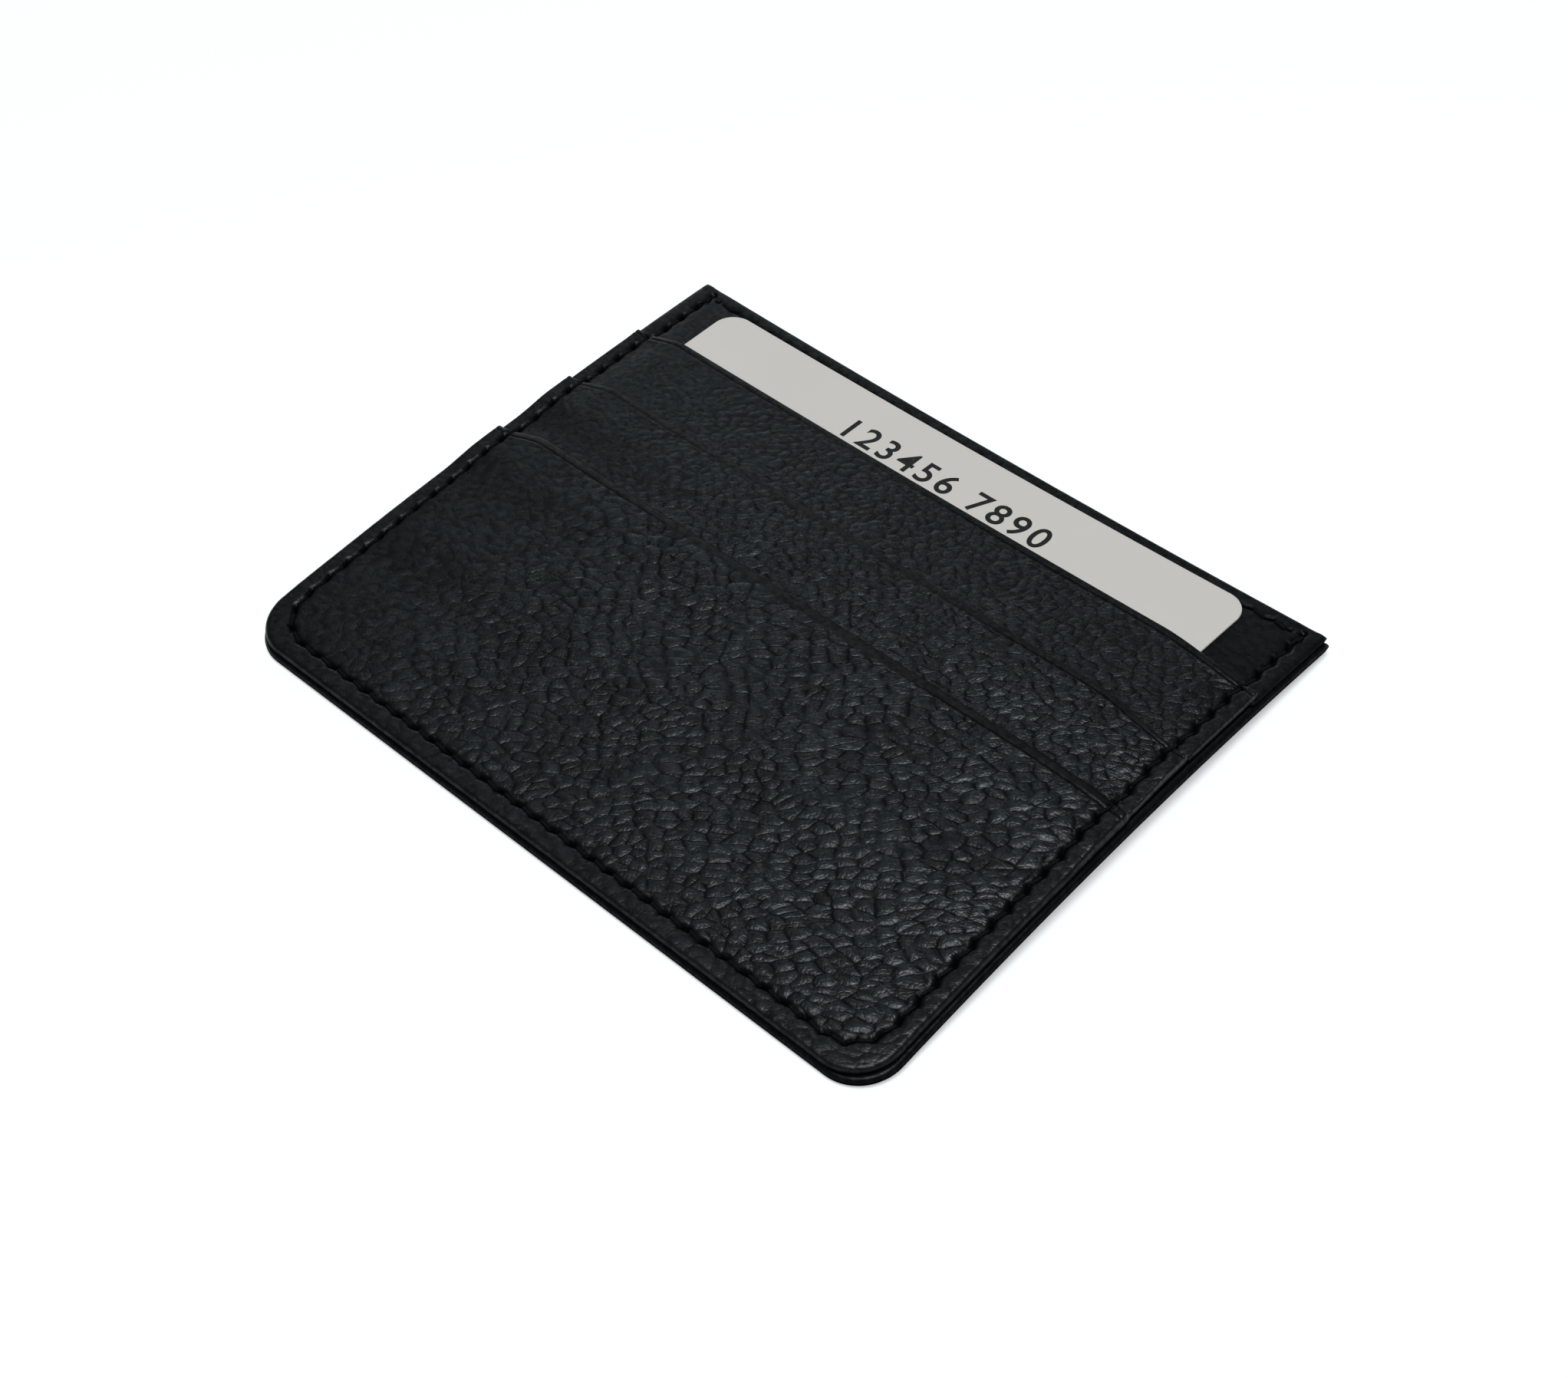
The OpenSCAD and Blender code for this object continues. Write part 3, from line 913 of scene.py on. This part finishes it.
def make_back_panel():
    """The plain back, its detailed face towards the table."""

    def outer(x, y):
        return bow(x, y) - 0.6 * swell(x, y) + 0.5 * seam_marks(x, y) + 0.5 * hem_marks(x, y)

    def inner(x, y):
        hem = ease(HALF_H - HEM_DEPTH - 1.0, HALF_H - HEM_DEPTH, y)
        plain = BACK_T + (HEM_TOP - 0.03 - BACK_T) * hem
        edge = 1 - ease(0.75, 1.0, inset(x, y))
        return plain + (HEM_TOP + 0.12 - plain) * edge + bow(x, y)

    def pebble(x, y):
        return 0.5 * (0.3 + 0.7 * ease(0.1, 2.0, off_seam(x, y)))

    step = 0.36
    ds = spaced(EDGE_R, 0.25, SEAM_IN - 0.9, 0.15, SEAM_IN + 0.9, step, CORNER_R)[::-1]
    ys = spaced(-HALF_H + CORNER_R, step, HALF_H - 4, 0.2, HALF_H - EDGE_R)
    xs = spaced(-INNER_X, step, INNER_X)
    sheet = Sheet(xs, ys, ds, HALF_W, -HALF_H, HALF_H, round_low=True)
    piece = make_sheet("back_panel_skin", sheet, outer, inner, None, EDGE_R, pebble, stitch_painted_shade)
    return finish_piece(piece, LEATHER, "leather", "holder", "back_panel_leather")


# ---------------------------------------------------------------- thread


def front_height(x, y):
    """Height of the front's face under a stitch. The mouths lie lower at the side seams."""
    z = np.where(y > MOUTH_1 - 1.4, BACKING_TOP, top_strip_top(y))
    z = np.where(y < MOUTH_2 - 1.4, middle_strip_top(y), z)
    z = np.where(y < MOUTH_3 - 0.8, bottom_panel_top(y), z)
    return settle(x, y, z) + swell(x, y)


def back_height(x, y):
    return bow(x, y) - 0.6 * swell(x, y)


def make_stitches(name, node, runs):
    """Twisted stitches, each from hole to hole. A run is its holes, a face's height, its side and depth."""
    rings, sides = 25, 8
    points, faces = [], []
    for holes, height, side, sunk in runs:
        for a, b in zip(*seam_path(holes)):
            along = (b - a) / np.linalg.norm(b - a)
            a, b = a - 0.1 * along, b + 0.1 * along
            across = np.array([-along[1], along[0]])
            t = np.linspace(0, 1, rings)
            line = a + (b - a) * t[:, None]
            dip = 0.55 * (1 - ease(0.0, 0.17, t) * ease(0.0, 0.17, 1 - t))
            centre = height(*line.T) - side * (sunk + dip)
            first = len(points) * sides
            for k in range(rings):
                angle = np.arange(sides) * 2 * math.pi / sides
                lobe = THREAD_R * (1 + 0.16 * np.cos(2 * (angle - 2 * math.pi * t[k] * 1.6)))
                lobe *= 0.75 + 0.25 * math.sin(math.pi * t[k])
                ring = line[k] + across * (lobe * np.cos(angle))[:, None]
                points.append(np.column_stack([ring, centre[k] + lobe * np.sin(angle) * 0.85]))
            for k in range(rings - 1):
                for n in range(sides):
                    m = (n + 1) % sides
                    row = first + k * sides
                    faces.append([row + n, row + m, row + sides + m, row + sides + n])
            faces.append(list(range(first, first + sides)))
            last = first + (rings - 1) * sides
            faces.append(list(range(last, last + sides)))
    piece = mesh_object(name, np.concatenate(points), faces)
    return finish_piece(piece, THREAD, "thread", "holder", node)


def edge_tack(x):
    """Three short stitches over each other where a side seam ends, and one that wraps the mouth edge."""
    top = HALF_H - SEAM_END
    return np.array([(x, top), (x + 0.14, top - 2.1), (x - 0.1, top - 0.1), (x + 0.05, HALF_H - 0.35)])


# ---------------------------------------------------------------- card


def make_card():
    half_w = (CARD_HIGH[0] - CARD_LOW[0]) / 2
    half_h = (CARD_HIGH[1] - CARD_LOW[1]) / 2
    middle = (CARD_HIGH + CARD_LOW) / 2
    edge = 0.12

    def place(x, y):
        return x + middle[0] - CARD_TURN * y, y + middle[1] + CARD_TURN * x

    def outer(x, y):
        return bow(x, y) + CARD_HIGH[2]

    def inner(x, y):
        return bow(x, y) + CARD_LOW[2]

    ds = spaced(edge, 0.5, CARD_R)[::-1]
    xs = spaced(-half_w + CARD_R, 2.0, half_w - CARD_R)
    ys = spaced(-half_h + CARD_R, 1.5, half_h - CARD_R)
    sheet = Sheet(xs, ys, ds, half_w, -half_h, half_h, r=CARD_R, round_low=True, round_high=True)
    piece = make_sheet("blank_card_body", sheet, outer, inner, place, edge)
    return finish_piece(piece, CARD, "card", "card", "blank_card")


def make_digits():
    """Plain digits printed along the card's upper edge."""
    text = bpy.data.curves.new("digits", "FONT")
    text.body = "123456 7890"
    text.size = 5.3
    text.space_character = 1.22
    text.space_word = 1.0
    text.offset = 0.07
    text.extrude = 0.004
    text.align_x = "CENTER"
    text.resolution_u = 6
    source = bpy.data.objects.new("digits_source", text)
    bpy.context.scene.collection.objects.link(source)
    graph = bpy.context.evaluated_depsgraph_get()
    mesh = bpy.data.meshes.new_from_object(source.evaluated_get(graph))
    bpy.data.objects.remove(source)
    points = np.array([v.co for v in mesh.vertices])
    points += (-0.6, MOUTH_1 + 1.0, CARD_HIGH[2] + 0.012)
    points[:, 2] += bow(points[:, 0], points[:, 1])
    mesh.vertices.foreach_set("co", (points * MM).astype(np.float32).ravel())
    piece = bpy.data.objects.new("card_digits", mesh)
    bpy.context.scene.collection.objects.link(piece)
    return finish_piece(piece, INK, "card", "card")


# ---------------------------------------------------------------- inner pieces


def make_inner(node, material, slot, mouth=None, ends=(0, 0)):
    """An inner sheet or thread: the CAD solid cut into short lengths and bent with the holder."""
    piece = bpy.data.objects.new(node + "_bent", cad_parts[node].data.copy())
    bpy.context.scene.collection.objects.link(piece)
    work = bmesh.new()
    work.from_mesh(piece.data)
    cuts = [((0, y * MM, 0), (0, 1, 0)) for y in np.arange(-38, 40, 4.0)]
    sides = (30, 38, 41, 43, 45, 46, 47, 48, 49)
    cuts += [((x * MM, 0, 0), (1, 0, 0)) for x in (*sides, 15, 0, -15, *(-side for side in sides))]
    for place, normal in cuts:
        parts = [*work.verts, *work.edges, *work.faces]
        bmesh.ops.bisect_plane(work, geom=parts, plane_co=place, plane_no=normal, dist=1e-7)
    for v in work.verts:
        x, y, z = v.co / MM
        z = float(settle(x, y, z))
        if mouth:
            y -= float((edge_curve(x, ends) + 0.5) * ease(mouth - MOUTH_BEND, mouth, y))
        v.co = Vector((min(max(x, -49.7), 49.7), y, z)) * MM
    work.to_mesh(piece.data)
    work.free()
    return finish_piece(piece, material, slot, "holder", node)


# ---------------------------------------------------------------- stage


def make_floor():
    """A wide pale floor with a low kerb round it."""
    mesh = bpy.data.meshes.new("floor")
    size, kerb = 8.0, 0.3
    corners = [(-size, -size), (size, -size), (size, size), (-size, size)]
    points = [(*corner, z) for z in (-2e-5, kerb) for corner in corners]
    sides = [(k, (k + 1) % 4, (k + 1) % 4 + 4, k + 4) for k in range(4)]
    mesh.from_pydata(points, [], [(0, 1, 2, 3), *sides])
    floor = bpy.data.objects.new("floor", mesh)
    bpy.context.scene.collection.objects.link(floor)
    material, tree, shader = new_material("pale_floor")
    shader.inputs["Base Color"].default_value = (0.95, 0.95, 0.95, 1)
    shader.inputs["Roughness"].default_value = 0.9
    shader.inputs["Specular IOR Level"].default_value = 0.1
    shader.inputs["Emission Color"].default_value = (1, 1, 1, 1)
    shader.inputs["Emission Strength"].default_value = 0.42
    mesh.materials.append(material)


def make_light(name, place, target, size, power, colour=(1, 1, 1)):
    lamp = bpy.data.lights.new(name, "AREA")
    lamp.shape = "RECTANGLE"
    lamp.size, lamp.size_y = size
    lamp.energy = power
    lamp.color = colour
    light = bpy.data.objects.new(name, lamp)
    bpy.context.scene.collection.objects.link(light)
    light.location = place
    light.rotation_mode = "QUATERNION"
    light.rotation_quaternion = (Vector(target) - Vector(place)).to_track_quat("-Z", "Y")


def make_lights():
    scene = bpy.context.scene
    scene.view_settings.view_transform = "Standard"
    world = bpy.data.worlds.new("studio")
    scene.world = world
    world.use_nodes = True
    world.node_tree.nodes["Background"].inputs[0].default_value = (0.93, 0.97, 1.0, 1)
    world.node_tree.nodes["Background"].inputs[1].default_value = 0.06
    make_light("overhead", (0.35, -0.3, 1.6), (0, 0, 0), (0.8, 0.8), 19.0, (0.90, 0.97, 1.0))
    make_light("behind", (-0.9, 0.62, 1.2), (0, 0, 0), (0.5, 0.5), 0.42, (0.82, 0.95, 1.0))
    make_light("window", (-1.05, 0.98, 0.45), (0, 0, 0), (0.4, 0.4), 1.0, (0.86, 0.97, 1.0))


def make_camera():
    """The camera, at the place and angle of view that the outline of the holder gives."""
    data = bpy.data.cameras.new("camera")
    data.lens = 59.44
    data.sensor_width = 36.0
    camera = bpy.data.objects.new("camera", data)
    bpy.context.scene.collection.objects.link(camera)
    right = Vector((0.72818, 0.68188, -0.06921))
    down = Vector((0.48388, -0.58298, -0.65268))
    ahead = Vector((-0.48540, 0.44178, -0.75447))
    turn = Matrix((right, -down, -ahead)).transposed().to_4x4()
    camera.matrix_world = Matrix.Translation(Vector((155.13, -140.57, 233.00)) * MM) @ turn
    data.clip_start, data.clip_end = 0.01, 20.0
    bpy.context.scene.camera = camera


# ---------------------------------------------------------------- assembly

make_camera()
make_lights()
make_floor()

make_back_panel()
make_backing()
top_place = (MOUTH_1, MOUTH_2 - STRIP_TAIL, top_strip_top, TOP_ENDS, TOP_CREASE)
middle_place = (MOUTH_2, MOUTH_3 - STRIP_TAIL, middle_strip_top, MIDDLE_ENDS, MIDDLE_CREASE)
make_strip("top_pocket_skin", "top_pocket_leather", *top_place)
make_strip("middle_pocket_skin", "middle_pocket_leather", *middle_place)
make_bottom_panel()

left_x, right_x = SEAM[0][0], SEAM[-1][0]
make_stitches(
    "outer_seam_front_stitches",
    "outer_seam_needle_thread",
    [
        (SEAM, front_height, 1, 0.20),
        (edge_tack(left_x), front_height, 1, 0.02),
        (edge_tack(right_x), front_height, 1, 0.02),
    ],
)
make_stitches("outer_seam_back_stitches", "outer_seam_bobbin_thread", [(SEAM, back_height, -1, 0.05)])
make_stitches("front_hem_stitches", "front_hem_thread", [(HEM, front_height, 1, 0.14)])
make_stitches("back_hem_stitches", "back_hem_thread", [(HEM, back_height, -1, 0.05)])

make_card()
make_digits()

for inner_node in ("back_board", "front_board"):
    make_inner(inner_node, BOARD, "board")
for inner_node in ("left_edge_filler", "right_edge_filler"):
    make_inner(inner_node, BOARD, "board", MOUTH_1, TOP_ENDS)
for inner_node in ("back_compartment_lining", "front_compartment_lining"):
    make_inner(inner_node, LINING, "lining")
make_inner("top_pocket_lining", LINING, "lining", MOUTH_1, TOP_ENDS)
make_inner("middle_pocket_lining", LINING, "lining", MOUTH_2, MIDDLE_ENDS)
for inner_node in ("top_pocket_base_thread", "middle_pocket_base_thread"):
    make_inner(inner_node, THREAD, "thread")
